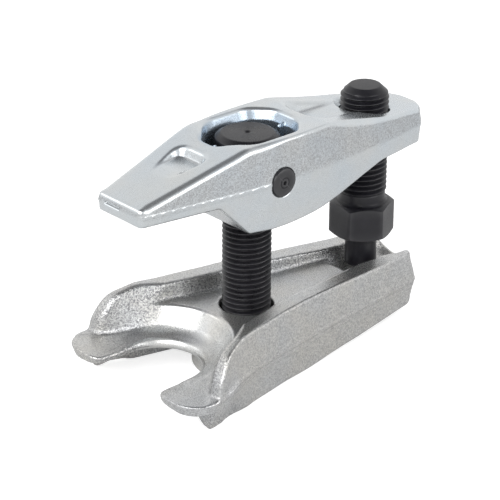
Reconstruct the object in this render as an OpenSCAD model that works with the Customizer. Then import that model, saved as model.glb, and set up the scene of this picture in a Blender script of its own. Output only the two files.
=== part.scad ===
// Ball joint separator: a forged fork, a forged rocking lever carried on a height-adjustable
// hinge bolt, and a pressure screw whose captive ball bears in the fork's seat.
// Millimetres, +Z up. The origin is on the hinge bolt's axis, in the plane of the fork's foot.
// The jaw points along -X and the pressure screw stands at +X. Y = 0 is the plane of symmetry.

/* [Threads and fits] */
// Nominal diameter of the two metric fine threads, drawn as plain cylinders
thread_d = 18; // [17.6:0.1:18.4]
// Radial clearance of every running fit
run_gap = 0.05; // [0.02:0.01:0.09]

/* [Fork] */
// Distance from the hinge bolt's axis to the front of the prongs
jaw_reach = 58; // [57:0.5:60]
// Overall width of the jaw
jaw_w = 76; // [74:0.5:78]
// Width of the slot between the prongs
slot_w = 31.4; // [28:0.2:32]
// Distance from the hinge bolt's axis to the centre of the slot's round end
slot_x = 41.5; // [40.5:0.5:42.5]
// Distance from the hinge bolt's axis to the rear end of the fork
fork_rear = 79; // [78:0.5:82]
// Height of the pads on the prongs
pad_z = 13; // [12:0.2:14]
// Thickness of the prongs
prong_t = 4.8; // [4:0.2:6]
// Height of the web between the side walls
web_z = 23.2; // [22.4:0.2:24]
// Thickness of the web
web_t = 8.2; // [7:0.2:9]
// Height of the side walls above the foot
wall_z = 29.6; // [28.6:0.2:30.6]
// Radius of the clearance hole for the hinge bolt
bolt_hole_r = 10; // [9.6:0.1:10.4]
// Radius of the trough that the thrust ball bears in
seat_r = 8.3; // [8.1:0.1:8.6]
// Height of the bottom of that trough
seat_z = 19; // [18.6:0.1:19.4]

/* [Lever] */
// Distance from the hinge bolt's axis to the pressing tip
tip_reach = 59.5; // [58:0.5:60]
// Width of the lever at its hinge
lever_w = 40.6; // [39:0.2:42]
// Width of the lever at its pressing tip
tip_w = 25; // [23:0.5:27]
// Distance from the hinge bolt's axis to the rear end of the lever
lever_rear = 81.5; // [80:0.5:83]
// Height of the lever's flat top
lever_top_z = 92.6; // [92:0.2:93.4]
// Height of the lever's pressing face
press_z = 73.7; // [73:0.1:74.4]
// Height of the bottom of the hinge boss
boss_z = 59.7; // [59:0.1:60.4]

/* [Hinge] */
// Height of the hinge pin's axis
pin_z = 77.2; // [76.8:0.1:77.6]
// Diameter of the hinge pin
pin_d = 10.6; // [10:0.2:11]
// Diameter of the hinge bolt's head
head_d = 23.8; // [23:0.1:24]
// Height of the top of that head
head_top_z = 90.5; // [90:0.1:91]
// Height of the lower end of the hinge bolt
bolt_end_z = 1; // [0.6:0.1:1.6]

/* [Adjusting nut] */
// Width across flats of the adjusting nut
nut_af = 27; // [25:0.5:27.5]
// Thickness of the thrust washer above the nut
washer_t = 2; // [1.6:0.1:2.2]
// Radius of the counterbore that holds nut and washer
nut_bore_r = 17; // [16.6:0.1:17.4]
// Thickness of the retaining ring below the nut
ring_t = 1.5; // [1.2:0.1:1.6]

/* [Pressure screw] */
// Distance from the hinge bolt's axis to the pressure screw's axis
screw_x = 57.6; // [57:0.1:58.2]
// Height of the pressure screw's upper end
screw_top_z = 93.9; // [92:0.1:96]
// Width across flats of its hexagon
hex_af = 21.7; // [21.2:0.1:22]
// Height of the underside of the hexagon
hex_z = 34.8; // [34:0.1:36]
// Height of the hexagon itself
hex_h = 13.2; // [12:0.1:14]
// Diameter of the plain neck below the hexagon
neck_d = 12; // [11.6:0.1:12.2]
// Diameter of the captive thrust ball
ball_d = 9; // [8.6:0.1:9.2]

/* [Hidden] */
$fn = 96;
eps = 0.01;

thread_r = thread_d / 2;
slot_r = slot_w / 2;
parting_z = 14.3;
lever_parting_z = 77.7;
lever_draft_top = 3.2;
lever_draft_bottom = 1.8;
rear_wall_z = 26.4;
rear_foot_z = 4.8;
web_under_z = web_z - web_t;
screw_hole_r = thread_r + run_gap;

// Where the trough starts, and where the sill that closes it at the rear starts
seat_front_x = 46.3;
sill_x = 73;
sill_lift = 1.8;

// The dished slope round the slot: its radius at the pads and its run per unit of rise
dish_r = 21;
dish_run = 0.63;

// The ring groove in the counterbore
ring_z = 1.4;
groove_r = nut_bore_r + 0.85;
ring_r = groove_r - run_gap;
ring_inner_r = 13.9;
ring_gap_angle = 24;
nut_top_z = web_under_z - washer_t - run_gap;
nut_h = nut_top_z - ring_z - ring_t - 0.5;

// The pocket in the lever: half length at the rim and below, and half width
pocket_r = head_d / 2 + 0.6;
pocket_rim_x = 5;
pocket_x = 1.9;
pocket_step_z = 80;
pocket_floor_z = 65.5;
well_r = thread_r + 1.2;
well_front_x = -1.6;
well_rear_x = 0.9;

// The hollows in the lever's top, each from its deep end to where it runs out
hollow_w = 11;
front_hollow = [[-23.5, 90.1], [-38, 86.2]];
rear_hollow = [[27, 92.1], [46, 88.2]];

// The countersink round the pressure screw in the lever's top
countersink_z = lever_top_z - 7.8;
countersink_h = 3;

head_bottom_z = 68;
head_chamfer = [2.6, 1.5];

ball_z = seat_z + run_gap + ball_d / 2;
neck_end_z = ball_z - 1.6;

steel_zinc = [0.74, 0.77, 0.79];
forged_zinc = [0.70, 0.71, 0.69];
black_oxide = [0.10, 0.10, 0.11];
bearing_steel = [0.62, 0.63, 0.65];

// A closed outline from the half that lies on the +Y side, given from front to rear
module mirrored_outline(half) {
  n = len(half);
  polygon(concat(half, [for (i = [n - 1 : -1 : 0]) [half[i][0], -half[i][1]]]));
}

// A plate that carries a side outline, drawn in X and Z, across the width w
module across(w) {
  translate([0, w / 2, 0])
    rotate([90, 0, 0])
      linear_extrude(w)
        children();
}

// A round bar with a chamfer at each end
module chamfered_bar(r, z0, z1, low = [0, 0], high = [0, 0]) {
  rotate_extrude()
    polygon([
      [0, z0],
      [r - low[0], z0],
      [r, z0 + low[1]],
      [r, z1 - high[1]],
      [r - high[0], z1],
      [0, z1]
    ]);
}

// A hexagon of width af across flats, with its corners turned off at both ends
module chamfered_hexagon(af, h) {
  corner_r = af / sqrt(3);
  face_r = af / 2 * 0.97;
  bevel = (corner_r - face_r) * 0.55;
  intersection() {
    cylinder(r = corner_r, h = h, $fn = 6);
    rotate_extrude()
      polygon([
        [0, 0],
        [face_r, 0],
        [corner_r, bevel],
        [corner_r, h - bevel],
        [face_r, h],
        [0, h]
      ]);
  }
}

// Points along an arc about centre, from angle a0 to angle a1
function arc_points(centre, r, a0, a1, steps) =
  [for (i = [0 : steps]) let (a = a0 + (a1 - a0) * i / steps) centre + r * [cos(a), sin(a)]];

// The fork's outline from above, with its slot
module fork_plan() {
  prong_r = 11;
  mouth_bevel = 5;
  prong_centre = [prong_r - jaw_reach, jaw_w / 2 - prong_r];
  difference() {
    mirrored_outline(concat(
      arc_points(prong_centre, prong_r, 180, 95, 10),
      [
        [-38, jaw_w / 2 - 1.6],
        [-30, 32.2],
        [-20, 28.9],
        [0, 24.8],
        [25, 20.6],
        [50, 17.2],
        [68, 14.6],
        [fork_rear - 4, 11],
        [fork_rear, 5]
      ]
    ));
    mirrored_outline(concat(
      [
        [-jaw_reach - 1, slot_r + mouth_bevel],
        [-jaw_reach + 3, slot_r + 1.2]
      ],
      arc_points([-slot_x, 0], slot_r, 92, 2, 16)
    ));
  }
}

// The fork's outline from the side
module fork_side() {
  foot_front = -46.5;
  polygon([
    [-jaw_reach - 1, pad_z],
    [-jaw_reach - 1, pad_z - prong_t],
    [foot_front, pad_z - prong_t],
    [foot_front, 3],
    [foot_front + 3, 0],
    [15, 0],
    [fork_rear + 1, rear_foot_z],
    [fork_rear + 1, rear_wall_z],
    [56, rear_wall_z + 0.4],
    [8, wall_z],
    [-26, wall_z],
    [-33, wall_z - 1.2],
    [-38, wall_z - 4],
    [-42, wall_z - 8.6],
    [-45, pad_z + 2.4],
    [-46.5, pad_z]
  ]);
}

// The hollow between the side walls, down to the web
module channel_plan() {
  mirrored_outline([
    [-26, 22],
    [-14, 19],
    [0, 16.2],
    [25, 12],
    [seat_front_x, seat_r]
  ]);
}

// The dished slope that rises from the pads to the web and opens out towards the prongs' ends
module dish() {
  rise = 20;
  flare_angle = 36;
  flare_run = 0.52;
  translate([-slot_x, 0, pad_z])
    cylinder(h = rise, r1 = dish_r, r2 = dish_r + rise * dish_run);
  hull()
    for (level = [0, rise]) {
      tangent_r = dish_r - 0.8 + level * flare_run;
      start = [tangent_r * sin(flare_angle) - slot_x, tangent_r * cos(flare_angle)];
      front_x = -jaw_reach - 2;
      translate([0, 0, pad_z + level])
        linear_extrude(eps)
          mirrored_outline([
            [front_x, start[1] + (start[0] - front_x) * tan(flare_angle)],
            start
          ]);
    }
}

// The ledge outside the walls' noses, level with the pads
module shoulders() {
  translate([0, 0, pad_z])
    linear_extrude(wall_z)
      for (side = [0, 1])
        mirror([0, side])
          polygon([
            [-jaw_reach - 1, 33],
            [-42, 33],
            [-35, 31.8],
            [-26, 29],
            [-14, 28],
            [-14, jaw_w],
            [-jaw_reach - 1, jaw_w]
          ]);
}

// The trough for the thrust ball, open towards the rear over a low sill
module seat() {
  for (part = [[seat_front_x, sill_x, 0], [sill_x - seat_r, fork_rear + 1, sill_lift]])
    translate([part[0], 0, seat_z + seat_r + part[2]])
      rotate([0, 90, 0])
        cylinder(r = seat_r, h = part[1] - part[0]);
}

// The two hollows in the fork's underside, in front of and behind the nut's boss
module underside_hollows() {
  rear_roof_z = 11;
  difference() {
    translate([0, 0, -eps]) {
      linear_extrude(pad_z - prong_t + eps)
        mirrored_outline([
          [-jaw_reach - 1, 29],
          [-41, 29],
          [-32, 27.4],
          [-20, 23.4],
          [-8, 21.4]
        ]);
      linear_extrude(rear_roof_z)
        mirrored_outline([
          [12, 18.2],
          [45, 13.4],
          [70, 10]
        ]);
    }
    cylinder(r = nut_bore_r + 3, h = web_z);
  }
}

module fork() {
  color(forged_zinc)
    difference() {
      intersection() {
        linear_extrude(wall_z + 1)
          fork_plan();
        across(jaw_w + 4)
          fork_side();
      }
      translate([0, 0, web_z])
        linear_extrude(wall_z)
          channel_plan();
      dish();
      shoulders();
      seat();
      underside_hollows();
      translate([0, 0, web_under_z - 1])
        cylinder(r = bolt_hole_r, h = web_t + 2);
      translate([0, 0, -1])
        cylinder(r = nut_bore_r, h = web_under_z + 1);
      translate([0, 0, ring_z - run_gap])
        cylinder(r = groove_r, h = ring_t + 2 * run_gap);
    }
}

module adjusting_nut() {
  color(black_oxide)
    difference() {
      translate([0, 0, nut_top_z - nut_h])
        chamfered_hexagon(nut_af, nut_h);
      translate([0, 0, -1])
        cylinder(r = screw_hole_r, h = web_z);
    }
}

module thrust_washer() {
  color(bearing_steel)
    translate([0, 0, web_under_z - washer_t])
      difference() {
        cylinder(r = nut_bore_r - 0.5, h = washer_t);
        translate([0, 0, -1])
          cylinder(r = thread_r + 0.6, h = washer_t + 2);
      }
}

// A sprung ring with a gap and two ears, each drilled for ring pliers
module nut_retaining_ring() {
  ear_r = 2.6;
  ear_hole_r = 1.1;
  ear_x = ring_inner_r - 0.4;
  color(black_oxide)
    translate([0, 0, ring_z])
      difference() {
        union() {
          rotate([0, 0, ring_gap_angle / 2])
            rotate_extrude(angle = 360 - ring_gap_angle)
              translate([ring_inner_r, 0])
                square([ring_r - ring_inner_r, ring_t]);
          for (side = [-1, 1])
            rotate([0, 0, side * (ring_gap_angle / 2 + 8)])
              translate([ear_x, 0, 0])
                cylinder(r = ear_r, h = ring_t);
        }
        for (side = [-1, 1])
          rotate([0, 0, side * (ring_gap_angle / 2 + 8)])
            translate([ear_x, 0, -1])
              cylinder(r = ear_hole_r, h = ring_t + 2);
      }
}

module hinge_bolt() {
  color(black_oxide)
    difference() {
      union() {
        chamfered_bar(thread_r, bolt_end_z, head_bottom_z + 1, low = [1.6, 1.6]);
        chamfered_bar(head_d / 2, head_bottom_z, head_top_z, low = [1.2, 1.2], high = head_chamfer);
      }
      translate([0, head_d, pin_z])
        rotate([90, 0, 0])
          cylinder(r = pin_d / 2 + run_gap, h = 2 * head_d);
    }
}

module hinge_pin() {
  color(black_oxide)
    translate([0, 0, pin_z])
      rotate([90, 0, 0])
        translate([0, 0, -lever_w / 2 + 0.3])
          chamfered_bar(pin_d / 2, 0, lever_w - 0.6, low = [0.7, 0.7], high = [0.7, 0.7]);
}

// The lever's outline from above at its parting plane, drawn in by inset all round
module lever_plan(inset) {
  w = lever_w / 2 - inset;
  t = tip_w / 2 - inset * 0.45;
  mirrored_outline([
    [-tip_reach, t - 2.2],
    [-tip_reach + 1.6, t],
    [-18, w - 1.8],
    [-5, w - 0.3],
    [12, w],
    [26, w - 0.7],
    [screw_x, w - 3.4],
    [lever_rear - 14, w - 5.4],
    [lever_rear - 5, w - 10.4],
    [lever_rear - inset / 3, 4]
  ]);
}

// The lever's outline from the side
module lever_side() {
  polygon([
    [-tip_reach, press_z],
    [-tip_reach, press_z + 5.6],
    [-tip_reach + 1.2, press_z + 6.8],
    [-15, lever_top_z - 0.1],
    [-12, lever_top_z],
    [23, lever_top_z],
    [26, lever_top_z - 0.4],
    [screw_x, lever_top_z - 6.9],
    [74, lever_top_z - 8.9],
    [lever_rear, lever_top_z - 9.7],
    [lever_rear, boss_z + 11],
    [56, boss_z + 11.2],
    [48, boss_z + 10.2],
    [31, boss_z + 4.4],
    [19, boss_z + 1.3],
    [5, boss_z],
    [-4, boss_z],
    [-13.6, boss_z + 0.9],
    [-26.5, press_z]
  ]);
}

// The lever's forged blank: its sides lean in above and below the parting plane
module lever_blank() {
  intersection() {
    across(lever_w + 4)
      lever_side();
    union() {
      hull() {
        translate([0, 0, lever_parting_z])
          linear_extrude(eps)
            lever_plan(0);
        translate([0, 0, lever_top_z])
          linear_extrude(eps)
            lever_plan(lever_draft_top);
      }
      hull() {
        translate([0, 0, lever_parting_z])
          linear_extrude(eps)
            lever_plan(0);
        translate([0, 0, boss_z])
          linear_extrude(eps)
            lever_plan(lever_draft_bottom);
      }
    }
  }
}

// A slot with round ends from x0 to x1 and from z0 upwards
module round_slot(r, x0, x1, z0) {
  h = lever_top_z + 1 - z0;
  translate([x0, 0, z0])
    cylinder(r = r, h = h);
  translate([x1, 0, z0])
    cylinder(r = r, h = h);
  translate([x0, -r, z0])
    cube([x1 - x0, 2 * r, h]);
}

// A shallow hollow in the lever's top, between two points of the top's side outline
module top_hollow(ends) {
  depth = 3;
  across(hollow_w)
    polygon([
      ends[0] - [0, depth],
      ends[1],
      ends[0] + [0, depth]
    ]);
}

module lever() {
  color(steel_zinc)
    difference() {
      lever_blank();
      round_slot(pocket_r, -pocket_rim_x, pocket_rim_x, pocket_step_z);
      round_slot(pocket_r, -pocket_x, pocket_x, pocket_floor_z);
      round_slot(well_r, well_front_x, well_rear_x, boss_z - 1);
      top_hollow(front_hollow);
      top_hollow(rear_hollow);
      translate([0, lever_w, pin_z])
        rotate([90, 0, 0])
          cylinder(r = pin_d / 2, h = 2 * lever_w);
      translate([screw_x, 0, boss_z])
        cylinder(r = screw_hole_r, h = lever_top_z);
      translate([screw_x, 0, countersink_z])
        cylinder(r1 = screw_hole_r, r2 = screw_hole_r + countersink_h, h = countersink_h);
    }
}

module pressure_screw() {
  relief = [0.4, 4.5];
  hex_turn = 25.5;
  hex_top_z = hex_z + hex_h;
  color(black_oxide)
    difference() {
      union() {
        translate([screw_x, 0, 0]) {
          chamfered_bar(neck_d / 2, neck_end_z, hex_z + 1, low = [0.8, 0.8]);
          chamfered_bar(thread_r - relief[0], hex_top_z - 1, hex_top_z + relief[1] + 1);
          chamfered_bar(thread_r, hex_top_z + relief[1], screw_top_z, high = [3, 3]);
        }
        translate([screw_x, 0, hex_z])
          rotate([0, 0, hex_turn])
            chamfered_hexagon(hex_af, hex_h);
      }
      translate([screw_x, 0, ball_z])
        sphere(r = ball_d / 2 + run_gap);
    }
}

module thrust_ball() {
  color(bearing_steel)
    translate([screw_x, 0, ball_z])
      sphere(d = ball_d);
}

fork();
adjusting_nut();
thrust_washer();
nut_retaining_ring();
hinge_bolt();
hinge_pin();
lever();
pressure_screw();
thrust_ball();
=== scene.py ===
"""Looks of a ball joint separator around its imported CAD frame.

Lengths in the modelling functions are millimetres in the frame's axes; a mesh is scaled to metres
when it becomes a Blender object. The two forgings are distance fields, so every edge has a fillet,
and are meshed with a surface net. The screws, the pin and the nut are built from rings, and the
threads are true right-hand helices.
"""

import math

import bmesh
import bpy
import numpy as np
from mathutils import Matrix, Vector


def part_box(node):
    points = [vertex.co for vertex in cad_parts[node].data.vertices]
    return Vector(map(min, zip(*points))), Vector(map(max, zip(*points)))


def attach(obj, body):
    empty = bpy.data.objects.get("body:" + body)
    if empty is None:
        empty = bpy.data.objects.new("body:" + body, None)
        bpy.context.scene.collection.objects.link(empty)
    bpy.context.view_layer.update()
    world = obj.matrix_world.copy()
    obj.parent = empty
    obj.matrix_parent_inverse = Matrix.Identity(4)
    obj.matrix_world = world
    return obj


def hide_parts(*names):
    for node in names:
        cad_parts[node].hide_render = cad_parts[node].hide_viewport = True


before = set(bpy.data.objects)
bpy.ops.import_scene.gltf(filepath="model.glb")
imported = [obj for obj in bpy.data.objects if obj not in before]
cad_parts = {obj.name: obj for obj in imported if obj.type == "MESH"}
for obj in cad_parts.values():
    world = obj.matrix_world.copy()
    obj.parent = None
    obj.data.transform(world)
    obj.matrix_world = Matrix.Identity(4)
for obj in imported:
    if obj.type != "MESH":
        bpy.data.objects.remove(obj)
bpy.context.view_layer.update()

MM = 0.001


def box_mm(node):
    low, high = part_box(node)
    return np.array(low) / MM, np.array(high) / MM


FORK_LOW, FORK_HIGH = box_mm("fork")
LEVER_LOW, LEVER_HIGH = box_mm("lever")
BOLT_LOW, BOLT_HIGH = box_mm("hinge_bolt")
PIN_LOW, PIN_HIGH = box_mm("hinge_pin")
NUT_LOW, NUT_HIGH = box_mm("adjusting_nut")
BALL_LOW, BALL_HIGH = box_mm("thrust_ball")
SCREW_TOP_Z = box_mm("pressure_screw")[1][2]

PIN_Z = (PIN_LOW[2] + PIN_HIGH[2]) / 2
PIN_R = (PIN_HIGH[2] - PIN_LOW[2]) / 2
SCREW_X = (BALL_LOW[0] + BALL_HIGH[0]) / 2
BALL_R = (BALL_HIGH[2] - BALL_LOW[2]) / 2
BALL_Z = (BALL_LOW[2] + BALL_HIGH[2]) / 2
HEAD_R = (BOLT_HIGH[0] - BOLT_LOW[0]) / 2
THREAD_R = 9.0
PITCH = 2.0
RUN_GAP = 0.05
BORE_R = THREAD_R + RUN_GAP


# ---------------------------------------------------------------- distance fields


def smax(a, b, r):
    """Intersection of two fields with a round edge of radius r."""
    u = np.maximum(a + r, 0)
    v = np.maximum(b + r, 0)
    return np.minimum(np.maximum(a, b), -r) + np.sqrt(u * u + v * v)


def smin(a, b, r):
    """Union of two fields with a fillet of radius r."""
    return -smax(-a, -b, r)


def smoothstep(x, low, high):
    t = np.clip((x - low) / (high - low), 0, 1)
    return t * t * (3 - 2 * t)


def bell(x, centre, width):
    """A smooth bump of height 1."""
    return np.exp(-(((x - centre) / width) ** 2))


def along(x, line):
    """Height of a line of (x, height) points."""
    return np.interp(x, *zip(*line))


def polygon_field(u, v, points):
    """Signed distance to a closed outline in the plane (u, v), negative inside."""
    u, v = np.broadcast_arrays(np.asarray(u, float), np.asarray(v, float))
    best = np.full(u.shape, np.inf)
    inside = np.zeros(u.shape, bool)
    n = len(points)
    for i in range(n):
        ax, ay = points[i]
        bx, by = points[(i + 1) % n]
        ex, ey = bx - ax, by - ay
        length2 = ex * ex + ey * ey
        if length2 < 1e-12:
            continue
        t = np.clip(((u - ax) * ex + (v - ay) * ey) / length2, 0, 1)
        best = np.minimum(best, (u - ax - t * ex) ** 2 + (v - ay - t * ey) ** 2)
        if ay != by:
            crosses = ((ay > v) != (by > v)) & (u < (v - ay) * ex / ey + ax)
            inside ^= crosses
    return np.where(inside, -1, 1) * np.sqrt(best)


def lumps(x, y, z, wavelength, seed, terms=9):
    """Gentle unevenness of a forged skin, about -1 to 1."""
    rng = np.random.default_rng(seed)
    total = 0
    for _ in range(terms):
        k = rng.normal(size=3)
        k *= 2 * math.pi / wavelength / np.linalg.norm(k) * rng.uniform(0.7, 1.3)
        total = total + np.sin(k[0] * x + k[1] * y + k[2] * z + rng.uniform(0, 6.28))
    return total / math.sqrt(terms)


# ---------------------------------------------------------------- outlines


def arc(centre, r, a0, a1, steps):
    """Points on an arc, angles in degrees."""
    angles = np.radians(np.linspace(a0, a1, steps))
    return [(centre[0] + r * math.cos(a), centre[1] + r * math.sin(a)) for a in angles]


def corner_curve(start, here, end, steps):
    """A curve from start to end that is tangent to the lines through the corner here."""
    return [
        tuple((1 - t) ** 2 * start + 2 * t * (1 - t) * here + t * t * end)
        for t in np.linspace(0, 1, steps)
    ]


def round_corners(points, radii, steps=5):
    """A closed outline whose corners become curves; radii is one number or one per corner."""
    n = len(points)
    if not isinstance(radii, (list, tuple)):
        radii = [radii] * n
    p = np.array(points, float)
    out = []
    for i in range(n):
        before, here, after = p[i - 1], p[i], p[(i + 1) % n]
        a = (before - here) / np.linalg.norm(before - here)
        b = (after - here) / np.linalg.norm(after - here)
        half = math.acos(np.clip(a @ b, -1, 1)) / 2
        room = 0.48 * min(np.linalg.norm(before - here), np.linalg.norm(after - here))
        reach = min(radii[i] / max(math.tan(half), 1e-6), room)
        if reach < 0.02 or half > 1.55:
            out.append(tuple(here))
        else:
            out += corner_curve(here + a * reach, here, here + b * reach, steps)
    return out


def mirrored(half):
    """A closed outline from its half on the +Y side."""
    return list(half) + [(x, -y) for x, y in reversed(half)]


# ---------------------------------------------------------------- surface net


def edge_crossings(values):
    """For each grid cell, the sum and the number of its edges' crossings with the surface."""
    cells = tuple(n - 1 for n in values.shape)
    total = np.zeros(cells + (3,))
    count = np.zeros(cells)
    corner = [slice(None, -1), slice(1, None)]
    for axis in range(3):
        others = [a for a in range(3) if a != axis]
        for j in range(2):
            for k in range(2):
                index = [None] * 3
                index[others[0]] = corner[j]
                index[others[1]] = corner[k]
                index[axis] = corner[0]
                first = values[tuple(index)]
                index[axis] = corner[1]
                second = values[tuple(index)]
                cut = (first < 0) != (second < 0)
                t = np.where(cut, first / np.where(cut, first - second, 1), 0)
                total[..., axis] += t
                total[..., others[0]] += np.where(cut, j, 0)
                total[..., others[1]] += np.where(cut, k, 0)
                count += cut
    return total, count


def crossing_quads(inside, number):
    """One outward quad round each grid edge that crosses the surface."""
    quads = []
    for axis in range(3):
        others = [a for a in range(3) if a != axis]
        index = [slice(1, -1)] * 3
        index[axis] = slice(None, -1)
        first = inside[tuple(index)]
        index[axis] = slice(1, None)
        second = inside[tuple(index)]
        for leaving, mask in ((True, first & ~second), (False, ~first & second)):
            cell = np.argwhere(mask)
            cell[:, others] += 1
            ring = []
            for j, k in ((0, 0), (1, 0), (1, 1), (0, 1)):
                near = cell.copy()
                near[:, others] -= (j, k)
                ring.append(number[tuple(near.T)])
            if leaving == (axis == 1):
                ring = ring[::-1]
            quads.append(np.stack(ring, 1))
    return np.vstack(quads)


def settle(field, vertices, step, rounds=3):
    """Moves vertices along the field's slope onto its zero level."""
    gap = step * 0.02
    for _ in range(rounds):
        x, y, z = vertices.T
        here = field(x, y, z)
        slope = np.stack([
            field(x + gap, y, z) - field(x - gap, y, z),
            field(x, y + gap, z) - field(x, y - gap, z),
            field(x, y, z + gap) - field(x, y, z - gap),
        ], 1) / (2 * gap)
        length2 = np.maximum((slope**2).sum(1), 0.3)
        move = -(here / length2)[:, None] * slope
        far = np.maximum(np.linalg.norm(move, axis=1) / (0.5 * step), 1)
        vertices = vertices + 0.8 * move / far[:, None]
    return vertices


def surface_net(field, low, high, step):
    """Vertices and quads on the zero level of a field."""
    axes = [np.arange(l - 1.5 * step, h + 2.5 * step, step) for l, h in zip(low, high)]
    values = field(axes[0][:, None, None], axes[1][None, :, None], axes[2][None, None, :])
    total, count = edge_crossings(values)
    used = count > 0
    number = np.full(count.shape, -1)
    number[used] = np.arange(used.sum())
    origin = np.array([a[0] for a in axes])
    vertices = origin + step * (np.argwhere(used) + total[used] / count[used][:, None])
    return settle(field, vertices, step), crossing_quads(values < 0, number)


# ---------------------------------------------------------------- mesh helpers


def add_object(name, vertices, faces, smooth=True):
    if isinstance(faces, np.ndarray):
        faces = faces.tolist()
    mesh = bpy.data.meshes.new(name)
    mesh.from_pydata((np.asarray(vertices) * MM).tolist(), [], faces)
    mesh.validate()
    mesh.polygons.foreach_set("use_smooth", [smooth] * len(mesh.polygons))
    mesh.update()
    piece = bpy.data.objects.new(name, mesh)
    bpy.context.scene.collection.objects.link(piece)
    return piece


def set_attribute(piece, name, values):
    attribute = piece.data.attributes.new(name, "FLOAT", "POINT")
    attribute.data.foreach_set("value", np.asarray(values, np.float32))


def places(piece):
    """Vertex coordinates of a piece in millimetres, as three arrays."""
    return (np.array([v.co for v in piece.data.vertices]) / MM).T


def steepness(piece):
    """At each vertex, 0 where the skin is level and 1 where it is upright."""
    return np.array([1 - abs(n.vector[2]) for n in piece.data.vertex_normals])


def tidy_mesh(piece):
    """Merges coincident vertices and turns every face outwards."""
    edit = bmesh.new()
    edit.from_mesh(piece.data)
    bmesh.ops.remove_doubles(edit, verts=edit.verts, dist=1e-7)
    bmesh.ops.dissolve_degenerate(edit, edges=edit.edges, dist=1e-8)
    bmesh.ops.recalc_face_normals(edit, faces=edit.faces)
    for face in edit.faces:
        face.smooth = True
    edit.to_mesh(piece.data)
    edit.free()
    piece.data.update()


def forged_piece(name, field, low, high, step):
    """Meshes a field and stores how convex the skin is at each vertex."""
    vertices, quads = surface_net(field, low, high, step)
    piece = add_object(name, vertices, quads)
    tidy_mesh(piece)
    x, y, z = places(piece)
    gap = 0.7
    bend = -6 * field(x, y, z)
    for dx, dy, dz in ((gap, 0, 0), (0, gap, 0), (0, 0, gap)):
        bend = bend + field(x + dx, y + dy, z + dz) + field(x - dx, y - dy, z - dz)
    set_attribute(piece, "convex", np.clip(bend / gap**2, -1.5, 1.5))
    return piece


# ---------------------------------------------------------------- lever


LEVER_STEP = 0.6
LEVER_PARTING_Z = 77.7
LEVER_FLASH = 0.32
TOP_Z = LEVER_HIGH[2]
PRESS_Z = 73.7
BOSS_Z = LEVER_LOW[2]
TIP_X = LEVER_LOW[0]
REAR_X = LEVER_HIGH[0]
HALF_W = LEVER_HIGH[1]
POCKET_FLOOR_Z = 80
POCKET_LEAN = 0.42
POCKET_LEAN_Z = 88.5
HEAD_ROOM_R = 12.5
HEAD_ROOM_Z = 65.5
ROD_ROOM_R = 10.2
ROD_ROOM_Z = 50
FRONT_HOLLOW_Z = 86.1
REAR_HOLLOW_Z = 87.5
PIN_SPOT_R = 7.4
PIN_SPOT_DEPTH = 0.55
SINK_R = 10.4
SINK_Z = 85.7
SINK_RUN = 0.75
FOLD_Y = 3.6
FOLD_HALF_W = 4.2
FOLD_HALF_H = 0.42
FOLD_DEPTH = 1.5

# The half outline seen from above, from the tip to the rear.
LEVER_HALF = [
    (TIP_X, 10.9),
    (TIP_X + 1.7, 12.4),
    (-33, 16.2),
    (-18, 18.6),
    (-4, HALF_W - 0.15),
    (12, HALF_W),
    (26, HALF_W - 0.7),
    (41, 18.2),
    (57.6, 16.9),
    (67, 15.0),
    (73.6, 13.9),
    (78.8, 9.0),
    (REAR_X, 4.0),
]
LEVER_ROUNDING = [1.6, 2.5] + [60] * 7 + [30, 2.5, 8, 5]
LEVER_PLAN = round_corners(mirrored(LEVER_HALF), LEVER_ROUNDING + LEVER_ROUNDING[::-1])

# The side view: the tip, the flat top, the rear, then the underside with the hinge boss.
LEVER_SIDE = round_corners(
    [
        (TIP_X, PRESS_Z),
        (TIP_X, 79.2),
        (TIP_X + 1.3, 80.5),
        (-14.5, TOP_Z),
        (24, TOP_Z),
        (57.6, SINK_Z),
        (REAR_X, 82.6),
        (REAR_X, 70.7),
        (52, 70.7),
        (31, 64.1),
        (19, 61),
        (5, BOSS_Z),
        (-4, BOSS_Z),
        (-14, BOSS_Z + 0.9),
        (-27, PRESS_Z),
    ],
    [0.8, 0.6, 0.6, 16, 14, 60, 1.5, 2, 20, 60, 40, 60, 40, 1.6, 1.5],
)

# Half outlines of the hollows and of the pocket; they run 1 mm past the plane of symmetry.
FRONT_HOLLOW = round_corners(
    [(-25.6, -1), (-25.6, 6.9), (-42, 4.6), (-42, -1)], [0, 4.2, 1, 0]
)
REAR_HOLLOW = round_corners([(27.6, -1), (27.6, 6.2), (50, 5.6), (50, -1)], [0, 3, 1, 0])
POCKET = round_corners(
    [(-19.2, -1), (-19.2, 4.2), (-9, 14.1), (11.5, 14.1), (18.8, 6.5), (18.8, -1)],
    [0, 9, 10, 8, 9, 0],
)


def hollow_field(x, y, z, plan, floor_z, lean):
    """A hollow with leaning walls and a level floor."""
    walls = (polygon_field(x, np.abs(y), plan) - lean * (z - floor_z)) / math.hypot(1, lean)
    return smax(walls, floor_z - z, 0.7)


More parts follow.
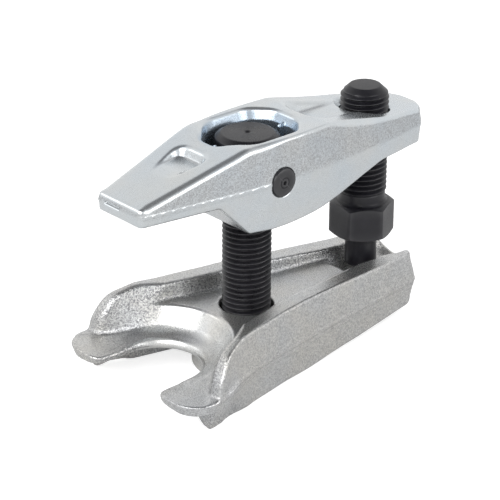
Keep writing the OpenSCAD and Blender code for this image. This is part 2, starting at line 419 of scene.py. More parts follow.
def lever_skin(x, y, z):
    """The lever's plan with draft and a parting line, cut to its side view."""
    above = np.maximum(z - LEVER_PARTING_Z, 0)
    below = np.maximum(LEVER_PARTING_Z - z, 0)
    boss = smoothstep(x, -22, -2) * (1 - smoothstep(x, 22, 50))
    draft = (0.12 + 0.05 * boss) * above + 0.09 * below
    ridge = LEVER_FLASH * bell(z, LEVER_PARTING_Z, 0.55) * (1 - 0.6 * smoothstep(x, -10, 15))
    plan = polygon_field(x, np.abs(y), LEVER_PLAN) + draft + LEVER_FLASH - ridge
    plan = plan + 0.05 * lumps(x, y, z, 15, 3)
    edge_r = 2.4 - 1.3 * smoothstep(x, -12, 6) - 1.7 * (1 - smoothstep(x, -59, -55.5))
    edge_r = edge_r + 1.3 * smoothstep(x, 20, 38) * (1 - smoothstep(x, 44, 58))
    edge_r = np.where(z > LEVER_PARTING_Z, edge_r, 0.9)
    return smax(plan, polygon_field(x, z, LEVER_SIDE), edge_r)


def lever_pocket(x, y, z):
    """The pocket in the top, the room for the bolt's head below it, and for the rod below that."""
    inset = 1.7 - POCKET_LEAN * np.maximum(z - POCKET_LEAN_Z, 0)
    rim = smax(polygon_field(x, np.abs(y), POCKET) + inset, POCKET_FLOOR_Z - z, 1)
    head = smax(np.hypot(np.maximum(np.abs(x) - 1.9, 0), y) - HEAD_ROOM_R, HEAD_ROOM_Z - z, 1)
    rod = smax(np.hypot(x - np.clip(x, -1.6, 0.9), y) - ROD_ROOM_R, ROD_ROOM_Z - z, 1)
    return smin(smin(rim, head, 0.8), rod, 0.8)


def lever_field(x, y, z):
    body = smax(lever_skin(x, y, z), -lever_pocket(x, y, z), 1.2)
    body = smax(body, -hollow_field(x, y, z, FRONT_HOLLOW, FRONT_HOLLOW_Z, 0.42), 0.9)
    body = smax(body, -hollow_field(x, y, z, REAR_HOLLOW, REAR_HOLLOW_Z, 0.85), 1.1)
    pin = np.hypot(x, z - PIN_Z)
    spot = smax(pin - PIN_SPOT_R, HALF_W - PIN_SPOT_DEPTH - np.abs(y), 0.2)
    body = smax(body, -spot, 0.3)
    body = smax(body, PIN_R + 0.08 - pin, 0.35)
    fold = smax(np.abs(z - LEVER_PARTING_Z) - FOLD_HALF_H, np.abs(y - FOLD_Y) - FOLD_HALF_W, 0.2)
    body = smax(body, -smax(fold, x - TIP_X - FOLD_DEPTH, 0.2), 0.15)
    screw = np.hypot(x - SCREW_X, y)
    sink = (screw - SINK_R - SINK_RUN * (z - SINK_Z)) / 1.25
    return smax(smax(body, -sink, 0.4), BORE_R + 0.12 - screw, 0.3)


def make_lever():
    """The lever; its steep skin is grainy above the parting line and in the openings."""
    piece = forged_piece("lever_forging", lever_field, LEVER_LOW, LEVER_HIGH, LEVER_STEP)
    x, y, z = places(piece)
    inner = 1 - smoothstep(polygon_field(x, np.abs(y), LEVER_PLAN), -6.5, -5)
    upper = smoothstep(z, LEVER_PARTING_Z - 0.2, LEVER_PARTING_Z + 0.4)
    grain = smoothstep(steepness(piece), 0.45, 0.85) * np.maximum(upper * (1 - inner), inner)
    set_attribute(piece, "grain", grain)
    # painted shade: the hollow mask marks the pocket's walls, which the zinc darkens and tints blue
    deep = smoothstep(z, 79, 81) * (1 - smoothstep(z, TOP_Z - 1.6, TOP_Z - 0.3))
    near = 1 - smoothstep(polygon_field(x, np.abs(y), POCKET), 0.2, 1)
    set_attribute(piece, "hollow", deep * near)
    return piece


# ---------------------------------------------------------------- fork


FORK_STEP = 0.64
FORK_PARTING_Z = 14.3
FORK_FLASH = 0.3
SECOND_LINE_DROP = 2.1
PAD_Z = 13.0
PRONG_UNDER_Z = 8.2
WEB_Z = 23.2
WEB_UNDER_Z = 15.0
WALL_Z = FORK_HIGH[2]
SLOT_X = -41.5
SLOT_R = 15.7
FORK_REAR_X = FORK_HIGH[0]
JAW_X = FORK_LOW[0]
JAW_Y = FORK_HIGH[1]
JAW_CORNER_R = 11
SEAT_R = 8.3
SEAT_Z = 19.0
SEAT_START_X = 46.3
SEAT_END_X = 70.5
BOLT_HOLE_R = 10
BOSS_R = 20
NUT_BORE_R = 17.0
GROOVE_DEPTH = 0.85
GROOVE_Z = 2.15
GROOVE_HALF_H = 0.8
CONE_R = 21.4
CONE_RUN = 0.6
CONE_Z = 15.7
FLARE_LOW = math.radians(45)
FLARE_HIGH = math.radians(29)

# The half outline seen from above, from the prong's end to the rear.
FORK_HALF = arc((JAW_X + JAW_CORNER_R, JAW_Y - JAW_CORNER_R), JAW_CORNER_R, 180, 92, 10) + [
    (-38, JAW_Y - 1.6),
    (-30, 32.2),
    (-20, 28.9),
    (0, 24.8),
    (25, 20.6),
    (50, 17.2),
    (67, 14.6),
    (FORK_REAR_X - 1.9, 12.9),
    (FORK_REAR_X, 4),
]
FORK_ROUNDING = [0] * 10 + [8, 12, 30, 50, 60, 60, 50, 6, 4]
FORK_PLAN = round_corners(mirrored(FORK_HALF), FORK_ROUNDING + FORK_ROUNDING[::-1])

# The side view: the prongs, the foot, then the walls down to the noses. It runs 9 mm past both
# ends, which the plan and the end face cut.
FORK_SIDE = round_corners(
    [
        (JAW_X - 9, PAD_Z),
        (JAW_X - 9, PRONG_UNDER_Z),
        (-46.5, PRONG_UNDER_Z),
        (-46.5, 0),
        (15, 0),
        (FORK_REAR_X + 9, 5.3),
        (FORK_REAR_X + 9, 26.4),
        (56, 26.8),
        (8, WALL_Z),
        (-29, WALL_Z),
        (-38.5, 26.8),
        (-43.7, 18.5),
        (-44.9, PAD_Z + 0.1),
    ],
    [0, 0, 1.5, 2.5, 60, 0, 0, 60, 60, 12, 10, 14, 2],
)

# Half widths along X: of the channel over the web, of the walls' noses above the pads, and of the
# hollows under the prongs and under the rear.
CHANNEL = [
    (-40, 26.5), (-25, 21.6), (-14, 18.6), (0, 15.6), (12, 13.5), (25, 11.6), (38, 9.6), (47, 8),
    (60, 6.5),
]
NOSE = [
    (-60, 36.9), (-44, 36.9), (-41, 35.9), (-38, 34.6), (-35, 33.4), (-30, 31.6), (-20, 29.6),
    (-8, 34),
]
FRONT_UNDERSIDE = [(-60, 26), (-44, 26), (-34, 27.6), (-8, 21.7)]
REAR_UNDERSIDE = [(12, 18.2), (45, 13.4), (70, 10)]


def fork_heights(z):
    """Heights above and below the parting line."""
    return np.maximum(z - FORK_PARTING_Z, 0), np.maximum(FORK_PARTING_Z - z, 0)


def fork_slot(x, y):
    """The open slot, which widens a little towards the prongs' ends."""
    ahead = np.maximum(SLOT_X - x, 0)
    return np.hypot(np.maximum(x - SLOT_X, 0), y) - SLOT_R - 0.05 * ahead


def fork_pad_z(x, y):
    """Height of the band round the slot: it rises away from the rim behind the slot."""
    out = np.clip(np.hypot(x - SLOT_X, y) - SLOT_R, 0, 6)
    return PAD_Z + 0.43 * out * (1 - smoothstep(-x, 31, 46))


def fork_skin(x, y, z):
    """The fork's plan with draft, two parting lines and the slot, cut to its side view."""
    above, below = fork_heights(z)
    ridge = FORK_FLASH * bell(z, FORK_PARTING_Z, 0.5)
    ridge = ridge + 0.22 * bell(z, FORK_PARTING_Z - SECOND_LINE_DROP, 0.45)
    ridge = ridge * smoothstep(x, -50, -44)
    splay = 0.25 * smoothstep(-x, 22, 40) * np.maximum(PAD_Z - z, 0)
    plan = polygon_field(x, np.abs(y), FORK_PLAN) + 0.03 * above + 0.1 * below + splay
    plan = smax(plan + FORK_FLASH - ridge, -fork_slot(x, y), 4.2)
    plan = plan + 0.06 * lumps(x, y, z, 16, 5)
    return smax(plan, polygon_field(x, z, FORK_SIDE), 0.9)


def fork_dish(x, y, z):
    """The cone round the slot, opening out to flat inner faces at the walls' noses."""
    level = z - CONE_Z
    radius = CONE_R + CONE_RUN * level
    cone = (np.hypot(x - SLOT_X, y) - radius) / math.hypot(1, CONE_RUN)
    turn = FLARE_LOW + (FLARE_HIGH - FLARE_LOW) * np.clip((level + 2.2) / 11.5, 0, 1.2)
    face = (x - SLOT_X) * np.sin(turn) + np.abs(y) * np.cos(turn) - radius
    ahead = (x - SLOT_X) * np.cos(turn) - np.abs(y) * np.sin(turn)
    flare = smax(face / 1.15, ahead, 1.5)
    return smax(np.minimum(cone, flare), fork_pad_z(x, y) - z, 1.5)


def fork_channel(x, y, z):
    """The space above the web, between the side walls."""
    walls = (np.abs(y) - along(x, CHANNEL) - 0.16 * (z - WEB_Z)) / 1.02
    return smax(smax(walls, WEB_Z - z, 1.6), x - 62, 1)


def fork_shoulder(x, y, z):
    """The space outside the noses and above the pads."""
    above, _ = fork_heights(z)
    outside = along(x, NOSE) - np.abs(y) - 0.05 * above
    return np.where(x > -2, 9, smax(outside, fork_pad_z(x, y) - z, 1.2))


def fork_seat(x, y, z):
    """The trough for the thrust ball, with a round rear end."""
    high = np.minimum(z - SEAT_Z - SEAT_R, 0)
    trough = np.sqrt(y * y + high * high + np.maximum(x - SEAT_END_X, 0) ** 2) - SEAT_R
    return smax(trough, SEAT_START_X - x, 0.4)


def fork_end(x, y, z):
    """The rear end face, which leans forward above the parting line and is bowed."""
    above, below = fork_heights(z)
    bow = 0.02 + 0.02 * np.clip(above / 8, 0, 1) + 0.035 * np.clip(below / 8, 0, 1)
    return (x - FORK_REAR_X + 1.4 + 0.2 * above + bow * np.maximum(np.abs(y) - 3, 0) ** 2) / 1.15


def fork_underside(x, y, z):
    """The hollows under the prongs and under the rear, outside the boss round the nut."""
    under = PRONG_UNDER_Z + 1.9 * (1 - smoothstep(fork_slot(x, y), 0, 8))
    toe = 0.16 * np.maximum(6 - z, 0) ** 2 * smoothstep(-x, 30, 42)
    front = smax(np.abs(y) - along(x, FRONT_UNDERSIDE) - toe, x + 6, 2)
    front = smax(front, z - under, 1)
    rear = smax(np.abs(y) - along(x, REAR_UNDERSIDE), np.maximum(10 - x, x - 70), 2)
    rear = smax(rear, z - 11, 1.5)
    return smax(smin(front, rear, 0.1), BOSS_R - np.hypot(x, y), 1.5)


def fork_nut_room(x, y, z):
    """The counterbore for the nut and its washer, with the retaining ring's groove."""
    out = np.hypot(x, y) - NUT_BORE_R
    bore = smax(out, z - WEB_UNDER_Z, 0.15)
    groove = smax(out - GROOVE_DEPTH, np.abs(z - GROOVE_Z) - GROOVE_HALF_H, 0.1)
    return np.minimum(bore, groove)


def fork_field(x, y, z):
    rim_r = 1 + 1.1 * (1 - smoothstep(fork_slot(x, y), 0, 5))
    top = smin(fork_channel(x, y, z), fork_dish(x, y, z), 0.7)
    body = smax(fork_skin(x, y, z), -top, rim_r)
    body = smax(body, -fork_shoulder(x, y, z), 1.1)
    body = smax(body, -fork_seat(x, y, z), 0.9 + 2.6 * smoothstep(x, 60, 69))
    body = smax(body, fork_end(x, y, z), 2)
    body = smax(body, -fork_underside(x, y, z), 0.9)
    body = smax(body, BOLT_HOLE_R - np.hypot(x, y), 0.5)
    return smax(body, -fork_nut_room(x, y, z), 0.3)


def make_fork():
    """The fork; its skin is grainy, most of all on the walls' inner faces, and smooth on the cone."""
    piece = forged_piece("fork_forging", fork_field, FORK_LOW, FORK_HIGH, FORK_STEP)
    x, y, z = places(piece)
    side = steepness(piece)
    inner = smoothstep(-polygon_field(x, np.abs(y), FORK_PLAN), 1.5, 3.5)
    cone = smoothstep(x, SLOT_X, SLOT_X + 7) * (1 - smoothstep(x, -16, -14))
    cone = cone * (1 - smoothstep(np.abs(y), 17, 21)) * inner * smoothstep(side, 0.03, 0.1)
    grain = 0.45 + smoothstep(side, 0.05, 0.35) * (0.15 + 0.4 * inner)
    set_attribute(piece, "grain", grain * (1 - 0.85 * cone))
    return piece


# ---------------------------------------------------------------- rings and threads


TURNS = 96


def bridge(rows):
    """Vertices and faces of rings joined in order; each ring is (radius, height), number or array.
    A first or last ring of radius 0 closes the end."""
    angles = np.arange(TURNS) * 2 * math.pi / TURNS
    vertices, faces, last = [], [], None
    for r, z in rows:
        if np.ndim(r) == 0 and r == 0:
            ring = [len(vertices)]
            vertices.append((0, 0, float(z)))
        else:
            ring = list(range(len(vertices), len(vertices) + TURNS))
            r, z = np.broadcast_to(r, TURNS), np.broadcast_to(z, TURNS)
            vertices += list(zip(r * np.cos(angles), r * np.sin(angles), z))
        if last is not None:
            for j in range(TURNS):
                k = (j + 1) % TURNS
                if len(ring) == 1:
                    faces.append((last[j], last[k], ring[0]))
                elif len(last) == 1:
                    faces.append((last[0], ring[k], ring[j]))
                else:
                    faces.append((last[j], last[k], ring[k], ring[j]))
        last = ring
    return vertices, faces


def thread_depth(t):
    """Depth of a metric thread below its crest, t pitches from the crest's middle."""
    t = np.abs(t - np.round(t))
    flank = np.clip((t - 0.07) / 0.3, 0, 1)
    return 1.08 * flank + 0.14 * smoothstep(t, 0.36, 0.5) - 0.06 * bell(t, 0, 0.07) + 0.06


def helix(z0, z1, radius):
    """A strip of thread from z0 to z1 whose rows follow the helix; radius(z, t) gives its skin."""
    fractions = [0, 0.045, 0.085, 0.2, 0.34, 0.42, 0.5, 0.58, 0.66, 0.8, 0.915, 0.955]
    m = len(fractions)
    count = math.ceil((z1 - z0 + PITCH) / PITCH) * m + 1
    angles = np.arange(TURNS + 1) * 2 * math.pi / TURNS
    share = np.arange(TURNS + 1) / TURNS
    vertices, faces = [], []
    for k in range(count):
        raw = z0 + PITCH * (k // m + fractions[k % m] - 1 + share)
        z = np.clip(raw, z0, z1)
        r = radius(z, (z - z0) / PITCH - share)
        vertices += list(zip(r * np.cos(angles), r * np.sin(angles), z))
        if k:
            a = (k - 1) * (TURNS + 1)
            b = k * (TURNS + 1)
            faces += [(a + j, a + j + 1, b + j + 1, b + j) for j in range(TURNS)]
    return vertices, faces


def radius_at(radius, z):
    """A thread's radius where it starts or stops, as a number."""
    return float(radius(np.array([z]), np.array([0.0]))[0])


def joined(*parts):
    vertices, faces = [], []
    for v, f in parts:
        start = len(vertices)
        vertices += list(v)
        faces += [tuple(start + i for i in face) for face in f]
    return vertices, faces


def fillet_rows(points, radii):
    """Rings along an open profile of (r, z) points whose inner corners become curves."""
    out = [points[0]]
    p = np.array(points, float)
    for i in range(1, len(points) - 1):
        a, b = p[i - 1] - p[i], p[i + 1] - p[i]
        la, lb = np.linalg.norm(a), np.linalg.norm(b)
        reach = min(radii[i - 1], 0.45 * la, 0.45 * lb)
        if reach < 0.01:
            out.append(tuple(p[i]))
        else:
            out += corner_curve(p[i] + a / la * reach, p[i], p[i] + b / lb * reach, 4)
    out.append(points[-1])
    return out


def turned(name, part, at=(0, 0, 0), along_y=False):
    """An object from (vertices, faces), turned about Z and then placed."""
    vertices, faces = part
    v = np.array(vertices, float)
    if along_y:
        v = np.stack([v[:, 0], v[:, 2], -v[:, 1]], 1)
    piece = add_object(name, v + np.array(at), faces)
    tidy_mesh(piece)
    return piece


def sharpen(piece, degrees=38):
    piece.data.set_sharp_from_angle(angle=math.radians(degrees))


def hexagon_radius(flats, turn):
    """Distance to a hexagon's side at each ring angle, with slightly rounded corners."""
    angles = np.arange(TURNS) * 2 * math.pi / TURNS - math.radians(turn)
    folded = np.mod(angles, math.pi / 3) - math.pi / 6
    return np.minimum(flats / 2 / np.cos(folded), flats / math.sqrt(3) * 0.985)


def hexagon_rows(flats, turn, z0, z1, face_r):
    """Rings of a hexagon from z0 to z1 with its corners turned off at both ends."""
    corner = hexagon_radius(flats, turn)
    drop = np.maximum(corner - face_r, 0) * 0.5
    edge = 0.18
    return [
        (face_r - 0.3, z0),
        (face_r, z0 + 0.06),
        (corner - edge, z0 + drop + 0.02),
        (corner, z0 + drop + edge),
        (corner, z0 + 0.3 * (z1 - z0)),
        (corner, z0 + 0.7 * (z1 - z0)),
        (corner, z1 - drop - edge),
        (corner - edge, z1 - drop - 0.02),
        (face_r, z1 - 0.06),
        (face_r - 0.3, z1),
    ]


# ---------------------------------------------------------------- screws, pin and nut


BOLT_NECK_R = 7.7
BOLT_RUNOUT_Z = 61
BOLT_THREAD_END_Z = 64.0
BOLT_HEAD_Z = 68.0
HEX_FLATS = 21.7
HEX_TURN = 25.5
HEX_Z = 34.8
HEX_TOP_Z = 48.0
HEX_FACE_R = 10.55
SCREW_THREAD_Z = 51.6
RELIEF_R = 8.55
SCREW_NECK_R = 6
SOCKET_DROP = 1.6
NUT_FLATS = 27
NUT_FACE_R = 13.2


def bore_through(piece, radius, z):
    """Cuts a round hole along Y."""
    rows = [(0, -20), (radius, -20), (radius, 20), (0, 20)]
    cutter = turned("pin_bore", bridge(rows), (0, 0, z), along_y=True)
    cut = piece.modifiers.new("bore", "BOOLEAN")
    cut.operation = "DIFFERENCE"
    cut.solver = "EXACT"
    cut.object = cutter
    bpy.context.view_layer.update()
    result = piece.evaluated_get(bpy.context.evaluated_depsgraph_get())
    mesh = bpy.data.meshes.new_from_object(result)
    piece.modifiers.clear()
    piece.data = mesh
    bpy.data.objects.remove(cutter)


def make_hinge_bolt():
    end_z, top_z = BOLT_LOW[2], BOLT_HIGH[2]
    low_z = end_z + 0.25

    def radius(z, t):
        full = THREAD_R - thread_depth(t)
        full = np.minimum(full, 7.45 + 1.1 * (z - low_z))
        return full + (BOLT_NECK_R - full) * smoothstep(z, BOLT_RUNOUT_Z, BOLT_THREAD_END_Z)

    low = [(0, end_z + 1.2), (1.2, end_z + 1.2), (2.4, end_z), (6.9, end_z)]
    low = low + [(radius_at(radius, low_z), low_z)]
    head = fillet_rows(
        [
            (BOLT_NECK_R, BOLT_THREAD_END_Z),
            (BOLT_NECK_R, BOLT_HEAD_Z),
            (HEAD_R - 1.2, BOLT_HEAD_Z),
            (HEAD_R, BOLT_HEAD_Z + 1.2),
            (HEAD_R, top_z - 1.6),
            (HEAD_R - 2.4, top_z),
            (1.3, top_z),
            (0.6, top_z - 0.4),
        ],
        [0.8, 0.5, 0.5, 0.6, 0.35, 0.3],
    )
    head = head + [(0, top_z - 0.6)]
    part = joined(bridge(low), helix(low_z, BOLT_THREAD_END_Z, radius), bridge(head))
    piece = turned("hinge_bolt_black", part)
    bore_through(piece, PIN_R + 0.1, PIN_Z)
    sharpen(piece)
    return piece


def ball_socket():
    """Rings of the socket that holds the thrust ball, and the height of its mouth."""
    end_z = BALL_Z - SOCKET_DROP
    socket_r = BALL_R + RUN_GAP
    rim_r = math.sqrt(socket_r**2 - SOCKET_DROP**2)
    rows = [(0, BALL_Z + socket_r)]
    for a in np.linspace(0.2, math.pi - math.asin(rim_r / socket_r), 12):
        rows.append((socket_r * math.sin(a), BALL_Z + socket_r * math.cos(a)))
    return rows, end_z


def make_pressure_screw():
    high_z = SCREW_TOP_Z - 0.1

    def radius(z, t):
        full = THREAD_R - thread_depth(t)
        full = RELIEF_R + (full - RELIEF_R) * smoothstep(z, SCREW_THREAD_Z, SCREW_THREAD_Z + 1.6)
        return np.minimum(full, 5.9 + 1.05 * (high_z - z))

    socket, end_z = ball_socket()
    neck = fillet_rows(
        [
            socket[-1],
            (SCREW_NECK_R - 0.8, end_z),
            (SCREW_NECK_R, end_z + 0.8),
            (SCREW_NECK_R, HEX_Z),
            (HEX_FACE_R - 0.3, HEX_Z),
        ],
        [0.2, 0.3, 0.9],
    )
    relief = fillet_rows(
        [
            (HEX_FACE_R - 0.3, HEX_TOP_Z),
            (RELIEF_R + 0.9, HEX_TOP_Z + 0.1),
            (RELIEF_R, HEX_TOP_Z + 0.9),
            (RELIEF_R, SCREW_THREAD_Z),
        ],
        [0.3, 0.8],
    )
    hexagon = hexagon_rows(HEX_FLATS, HEX_TURN, HEX_Z, HEX_TOP_Z, HEX_FACE_R)
    high_r = radius_at(radius, high_z)
    cap = fillet_rows([(high_r, high_z), (high_r - 0.35, SCREW_TOP_Z), (0.4, SCREW_TOP_Z)], [0.2])
    part = joined(
        bridge(socket[:-1] + neck[:-1] + hexagon + relief[1:]),
        helix(SCREW_THREAD_Z, high_z, radius),
        bridge(cap + [(0, SCREW_TOP_Z)]),
    )
    piece = turned("pressure_screw_black", part, (SCREW_X, 0, 0))
    sharpen(piece, 34)
    return piece


def make_hinge_pin():
    """The pin, with a centre mark, a turned ring and a chamfer on each end."""
    end = HALF_W - 0.3
    half = [
        (0, end - 1.0),
        (0.5, end - 0.75),
        (0.8, end),
        (1.5, end),
        (1.7, end - 0.14),
        (2.0, end - 0.14),
        (2.2, end),
        (PIN_R - 0.75, end),
        (PIN_R - 0.2, end - 0.3),
        (PIN_R, end - 0.9),
        (PIN_R, 6),
    ]
    rows = [(r, -z) for r, z in half] + half[::-1]
    piece = turned("hinge_pin_black", bridge(rows), (0, 0, PIN_Z), along_y=True)
    sharpen(piece)
    return piece


def make_adjusting_nut():
    low_z, high_z = NUT_LOW[2], NUT_HIGH[2]
    start, stop = low_z + 1.0, high_z - 1.0
    root_r = BORE_R + 0.1
    mouth_r = BORE_R + 0.75

    def radius(z, t):
        return root_r - thread_depth(t) * smoothstep(np.minimum(z - start, stop - z), 0, 0.8)

    rows = [(root_r, stop), (mouth_r, high_z)]
    rows += hexagon_rows(NUT_FLATS, 0, low_z, high_z, NUT_FACE_R)[::-1]
    rows += [(mouth_r, low_z), (root_r, start)]
    piece = turned("adjusting_nut_black", joined(bridge(rows), helix(start, stop, radius)))
    sharpen(piece)
    return piece


# ---------------------------------------------------------------- materials


class Nodes:
    """A short way to write node trees: each call adds a node and links its inputs."""

    def __init__(self, name):
        self.material = bpy.data.materials.new(name)
        self.material.use_nodes = True
        self.tree = self.material.node_tree
        self.tree.nodes.clear()
        self.out = self.tree.nodes.new("ShaderNodeOutputMaterial")

    def put(self, socket, value):
        if isinstance(value, bpy.types.NodeSocket):
            self.tree.links.new(value, socket)
        else:
            socket.default_value = value

    def add(self, kind, inputs=None, output=0, **settings):
        made = self.tree.nodes.new("ShaderNode" + kind)
        for key, value in settings.items():
            setattr(made, key, value)
        for key, value in (inputs or {}).items():
            self.put(made.inputs[key], value)
        return made.outputs[output]

    def finish(self, shader):
        self.put(self.out.inputs[0], shader)
        return self.material

    def math(self, operation, a, b=0.0):
        return self.add("Math", {0: a, 1: b}, operation=operation)

    def span(self, value, low, high, to_low=0.0, to_high=1.0):
        return self.add("MapRange", {0: value, 1: low, 2: high, 3: to_low, 4: to_high})

    def blend(self, factor, a, b):
        return self.add("Mix", {0: factor, 6: a, 7: b}, output=2, data_type="RGBA")

    def noise(self, where, scale, detail=3.0, rough=0.55):
        inputs = {"Vector": where, "Scale": scale, "Detail": detail, "Roughness": rough}
        return self.add("TexNoise", inputs)

    def attribute(self, name):
        return self.add("Attribute", output=2, attribute_name=name)

    def place(self):
        return self.add("TexCoord", output=3)

    def pointiness(self):
        return self.add("NewGeometry", output=7)


GRAIN_SIZE = 0.0004
# a dark blue for the painted shade in the lever's pocket, with the chromate's blue
POCKET_BLUE_SHADE = (0.36, 0.44, 0.53)


def shade(r, g, b):
    return (r, g, b, 1)


def zinc(name, cool, warm, tint, shadow, mottled, dull, rough, bump):
    """Bright zinc on a forging, clouded from cool to warm, with a dull speckle on grainy skin,
    painted shade in concave creases and a painted blue shade in the lever's pocket.

    mottled is how far the fine blotches go towards the shadow colour, dull is how far the speckle
    does at least and at most, and bump is its depth in metres."""
    n = Nodes(name)
    where = n.place()
    cloud = n.noise(where, 55, 3)
    broad = n.noise(where, 18, 2)
    mottle = n.noise(where, 420, 3, 0.7)
    speck = n.noise(where, 0.62 / GRAIN_SIZE, 2, 0.75)
    fine = n.noise(where, 1 / GRAIN_SIZE, 2.5, 0.65)
    finer = n.noise(where, 3 / GRAIN_SIZE, 2, 0.6)
    grain = n.attribute("grain")
    convex = n.attribute("convex")
    dark = shade(*shadow)

    colour = n.blend(n.span(cloud, 0.35, 0.65), shade(*cool), shade(*warm))
    colour = n.blend(n.span(broad, 0.52, 0.72, 0, 0.35), colour, shade(*tint))
    colour = n.blend(n.span(mottle, 0.5, 0.75, 0, mottled), colour, dark)
    colour = n.blend(n.math("MULTIPLY", n.span(speck, 0.42, 0.61, *dull), grain), colour, dark)
    # painted shade: concave creases and fillets are blended towards the dark colour
    colour = n.blend(n.span(convex, -0.15, -0.9, 0, 0.35), colour, dark)
    # painted shade: the pocket's walls are blended towards a dark blue, the chromate's blue darkened
    # by painted shade
    pocket_shade = n.math("MULTIPLY", n.attribute("hollow"), 0.75)
    colour = n.blend(pocket_shade, colour, shade(*POCKET_BLUE_SHADE))

    polish = n.math("MULTIPLY", n.span(convex, 0.15, 0.9), 0.12)
    roughness = n.span(fine, 0.3, 0.7, rough - 0.05, rough + 0.07)
    roughness = n.math("ADD", roughness, n.math("MULTIPLY", grain, 0.02))
    roughness = n.math("SUBTRACT", roughness, polish)

    pits = n.math("ADD", fine, n.math("MULTIPLY", speck, 1.2))
    height = n.math("MULTIPLY", pits, n.span(grain, 0, 1, 0.08, 1.0))
    height = n.math("ADD", height, n.math("MULTIPLY", finer, n.span(grain, 0, 1, 0.05, 0.35)))
    height = n.math("ADD", height, n.math("MULTIPLY", cloud, 0.25))
    normal = n.add("Bump", {"Strength": 1.0, "Distance": bump, "Height": height})
    look = {"Base Color": colour, "Metallic": 0.87, "Roughness": roughness, "Normal": normal}
    return n.finish(n.add("BsdfPrincipled", look))


def turned_rings(n, where, spacing):
    """Height of the fine rings that a facing cut leaves round the Z axis."""
    x = n.add("SeparateXYZ", {0: where})
    y = n.add("SeparateXYZ", {0: where}, output=1)
    radius2 = n.math("ADD", n.math("MULTIPLY", x, x), n.math("MULTIPLY", y, y))
    turns = n.math("MULTIPLY", n.math("POWER", radius2, 0.5), 2 * math.pi / spacing)
    return n.math("MULTIPLY", n.math("SINE", turns), 0.5)


def black_oxide(name, colour, rough, crest_highlight, ring_spacing=0.0):
    """Blackened steel with fine blotches; a painted highlight brightens its crests and edges, and its
    roots are dull.
    """
    n = Nodes(name)
    where = n.place()
    edge_pointiness = n.pointiness()
    blotch = n.noise(where, 160, 4)
    fine = n.noise(where, 1800, 2)
    tone = n.blend(n.span(blotch, 0.35, 0.7), shade(*colour), shade(*(c * 1.9 for c in colour)))
    # painted highlight: sharp crests and edges are blended towards a lighter grey
    tone = n.blend(n.span(edge_pointiness, 0.53, 0.6, 0, crest_highlight), tone, shade(0.19, 0.185, 0.2))
    gloss = n.span(edge_pointiness, 0.44, 0.56, 1.17, 1.63)
    roughness = n.span(n.math("ADD", blotch, fine), 0.6, 1.4, rough - 0.08, rough + 0.1)
    height = n.math("ADD", n.math("MULTIPLY", fine, 0.5), blotch)
    if ring_spacing:
        height = n.math("ADD", height, turned_rings(n, where, ring_spacing))
    normal = n.add("Bump", {"Strength": 0.5, "Distance": 0.00006, "Height": height})
    look = {"Base Color": tone, "IOR": gloss, "Roughness": roughness, "Normal": normal}
    return n.finish(n.add("BsdfPrincipled", look))


def ground_steel():
    """Hardened steel with fine grinding marks."""
    n = Nodes("ground_steel")
    where = n.place()
    marks = n.add("TexWave", {"Vector": where, "Scale": 900, "Distortion": 4, "Detail": 2}, output=1)
    cloud = n.noise(where, 120, 3)
    colour = n.blend(n.span(cloud, 0.3, 0.7), shade(0.5, 0.5, 0.51), shade(0.62, 0.62, 0.63))
    roughness = n.span(cloud, 0.3, 0.7, 0.22, 0.36)
    normal = n.add("Bump", {"Strength": 0.25, "Distance": 0.00002, "Height": marks})
    look = {"Base Color": colour, "Metallic": 1.0, "Roughness": roughness, "Normal": normal}
    return n.finish(n.add("BsdfPrincipled", look))


LEVER_ZINC = zinc(
    "lever_zinc",
    cool=(0.60, 0.645, 0.68),
    warm=(0.64, 0.66, 0.665),
    tint=(0.66, 0.66, 0.62),
    shadow=(0.27, 0.265, 0.27),
    mottled=0.1,
    dull=(0.16, 0.6),
    rough=0.24,
    bump=0.000035,
)
FORK_ZINC = zinc(
    "fork_zinc",
    cool=(0.61, 0.62, 0.625),
    warm=(0.645, 0.635, 0.605),
    tint=(0.63, 0.61, 0.555),
    shadow=(0.24, 0.24, 0.25),
    mottled=0.3,
    dull=(0.0, 1.0),
    rough=0.26,
    bump=0.00011,
)
BOLT_BLACK = black_oxide("bolt_black", (0.0075, 0.0072, 0.009), 0.3, 0.5, 0.0005)
SCREW_BLACK = black_oxide("screw_black", (0.007, 0.0068, 0.009), 0.33, 0.15)
PIN_BLACK = black_oxide("pin_black", (0.012, 0.012, 0.014), 0.34, 0.1)
STEEL = ground_steel()


def dress(piece, material):
    piece.data.materials.clear()
    piece.data.materials.append(material)


# ---------------------------------------------------------------- pieces


for node, body, make, material, slot_name in (
    ("lever", "lever", make_lever, LEVER_ZINC, "lever_zinc"),
    ("fork", "fork", make_fork, FORK_ZINC, "fork_zinc"),
    ("hinge_bolt", "hinge_bolt", make_hinge_bolt, BOLT_BLACK, "black_steel"),
    ("hinge_pin", "lever", make_hinge_pin, PIN_BLACK, "black_steel"),
    ("pressure_screw", "pressure_screw", make_pressure_screw, SCREW_BLACK, "black_steel"),
    ("adjusting_nut", "adjuster", make_adjusting_nut, PIN_BLACK, "black_steel"),
):
    made = make()
    dress(made, material)
    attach(made, body)
    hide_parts(node)

for node, material, slot_name in (
    ("thrust_washer", STEEL, "plain_steel"),
    ("nut_retaining_ring", PIN_BLACK, "black_steel"),
    ("thrust_ball", STEEL, "plain_steel"),
):
    dress(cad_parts[node], material)


# ---------------------------------------------------------------- floor, light and camera


def glow(name, seen, mirrored_light, diffuse):
    """A pale matt material that also gives off a little light, less of it in reflections."""
    n = Nodes(name)
    matt = n.add("BsdfDiffuse", {"Color": shade(diffuse, diffuse, diffuse)})
    strength = n.span(n.add("LightPath"), 0, 1, mirrored_light, seen)
    light = n.add("Emission", {"Color": shade(1, 1, 1), "Strength": strength})
    return n.finish(n.add("AddShader", {0: matt, 1: light}))


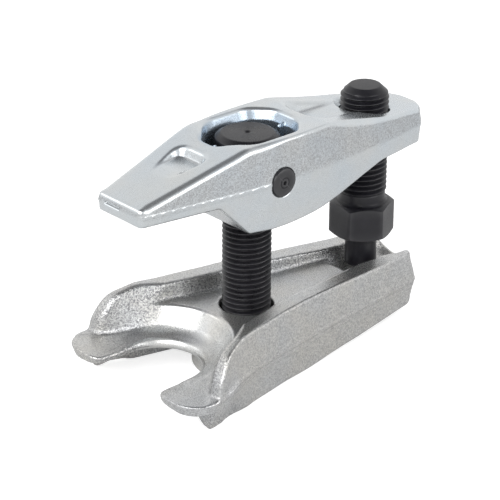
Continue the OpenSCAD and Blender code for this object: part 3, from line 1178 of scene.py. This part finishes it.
def add_floor():
    size = 2400.0
    rows = [(-size, -size), (size, -size), (size, size), (-size, size)]
    outline = round_corners(rows, 60)
    low = [(x, y, -6.0) for x, y in outline]
    high = [(x, y, -0.02) for x, y in outline]
    n = len(outline)
    faces = [tuple(range(n))[::-1], tuple(range(n, 2 * n))]
    faces += [(i, (i + 1) % n, n + (i + 1) % n, n + i) for i in range(n)]
    floor = add_object("floor", low + high, faces, smooth=False)
    floor.data.materials.append(glow("floor_white", 0.72, 0.2, 0.6))


def add_world():
    """Studio surroundings: white low down and at the horizon, with a dark ceiling."""
    world = bpy.data.worlds.new("studio")
    bpy.context.scene.world = world
    world.use_nodes = True
    tree = world.node_tree
    tree.nodes.clear()
    where = tree.nodes.new("ShaderNodeTexCoord")
    split = tree.nodes.new("ShaderNodeSeparateXYZ")
    ramp = tree.nodes.new("ShaderNodeValToRGB")
    light = tree.nodes.new("ShaderNodeBackground")
    out = tree.nodes.new("ShaderNodeOutputWorld")
    tree.links.new(where.outputs["Generated"], split.inputs[0])
    tree.links.new(split.outputs[2], ramp.inputs[0])
    tree.links.new(ramp.outputs[0], light.inputs[0])
    tree.links.new(light.outputs[0], out.inputs[0])
    light.inputs[1].default_value = 1.0
    elements = ramp.color_ramp.elements
    elements[0].position, elements[0].color = 0.0, shade(1, 1, 1)
    elements[1].position, elements[1].color = 0.68, shade(0.98, 0.98, 0.98)
    for position, value in ((0.8, 0.55), (0.92, 0.12)):
        elements.new(position).color = shade(value, value, value * 1.04)


def add_panel(name, azimuth, elevation, distance, size, radiance):
    """A soft light panel that faces the object; azimuth is from +X towards +Y."""
    a, e = math.radians(azimuth), math.radians(elevation)
    towards = Vector((math.cos(a) * math.cos(e), math.sin(a) * math.cos(e), math.sin(e)))
    data = bpy.data.lights.new(name, "AREA")
    data.shape = "RECTANGLE"
    data.size, data.size_y = size
    data.energy = radiance * math.pi * size[0] * size[1]
    panel = bpy.data.objects.new(name, data)
    panel.location = Vector((0, 0, 0.05)) + towards * distance
    panel.rotation_mode = "QUATERNION"
    panel.rotation_quaternion = towards.to_track_quat("Z", "Y")
    bpy.context.scene.collection.objects.link(panel)


def add_camera():
    """A long lens that looks from the front left, with the object a little off its axis."""
    a, e, roll = math.radians(41.85), math.radians(24.957), math.radians(0.45)
    right = Vector((math.cos(a), -math.sin(a), 0))
    up = Vector((math.sin(a) * math.sin(e), math.cos(a) * math.sin(e), math.cos(e)))
    back = Vector((-math.sin(a) * math.cos(e), -math.cos(a) * math.cos(e), math.sin(e)))
    side = right * math.cos(roll) + up * math.sin(roll)
    top = up * math.cos(roll) - right * math.sin(roll)
    data = bpy.data.cameras.new("camera")
    data.lens = 187.2
    data.sensor_width = 36
    data.clip_start, data.clip_end = 0.05, 10
    camera = bpy.data.objects.new("camera", data)
    camera.rotation_mode = "QUATERNION"
    camera.rotation_quaternion = Matrix((side, top, back)).transposed().to_quaternion()
    camera.location = (side * 1.498 + top * 40.160 + back * 958.378) * MM
    bpy.context.scene.collection.objects.link(camera)
    bpy.context.scene.camera = camera


add_floor()
add_world()
add_panel("right_box", -70, 27, 0.9, (0.6, 0.36), 2.5)
add_panel("rear_left_box", 131, 26, 1.0, (0.4, 0.24), 1.2)
add_panel("front_left_box", -168, 37, 1.0, (1.1, 0.5), 3.4)
add_camera()
bpy.context.scene.view_settings.view_transform = "Standard"
